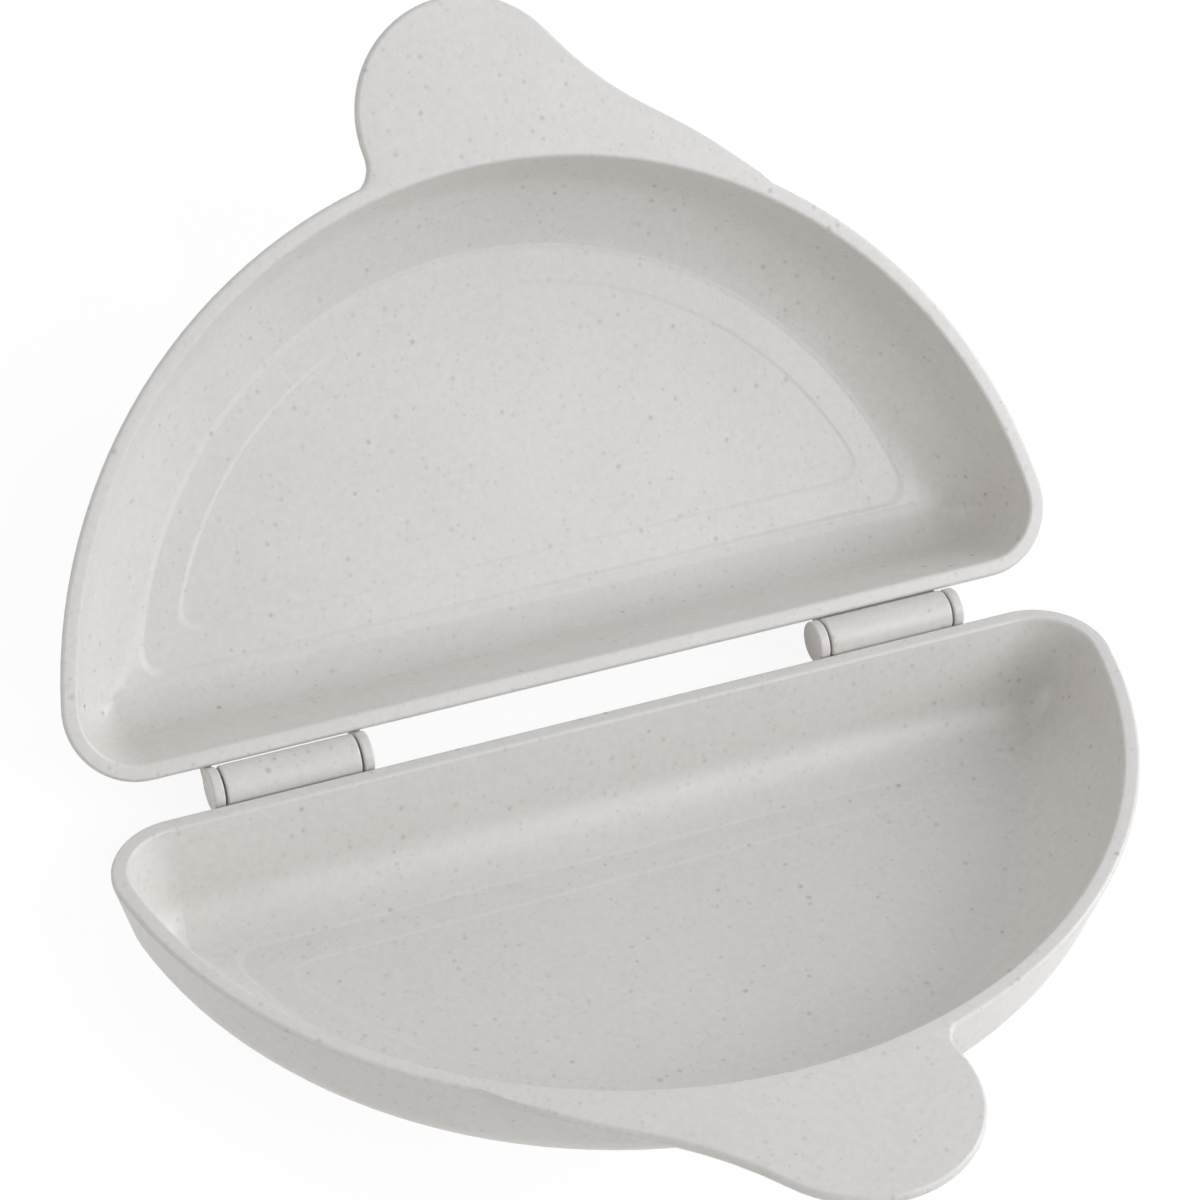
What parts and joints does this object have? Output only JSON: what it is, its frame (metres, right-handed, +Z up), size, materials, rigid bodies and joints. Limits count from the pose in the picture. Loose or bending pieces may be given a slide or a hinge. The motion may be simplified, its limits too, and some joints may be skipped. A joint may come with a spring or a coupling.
{
  "type": "microwave omelet pan",
  "caption": "Hinged omelet pan for the microwave: half-moon trays of speckled light plastic, each with a flat rim and a tab handle, standing open",
  "frame": {"origin": "on the ground, midway between the two trays, straight below the hinge axis", "axes": "+Z up, X along the hinge, the base to -Y with its handle at the -Y end, the lid to +Y"},
  "size_m": [0.2076, 0.249, 0.0769],
  "materials": {
    "shell": "satin, speckled light grey"
  },
  "bodies": {
    "base": {"base": "shell"},
    "lid": {"lid": "shell"}
  },
  "joints": [
    {"name": "hinge", "type": "hinge", "parent": "base", "child": "lid", "pos_m": [0, 0, 0.01295], "axis": [1, 0, 0], "range_deg": [-55, 125]}
  ]
}
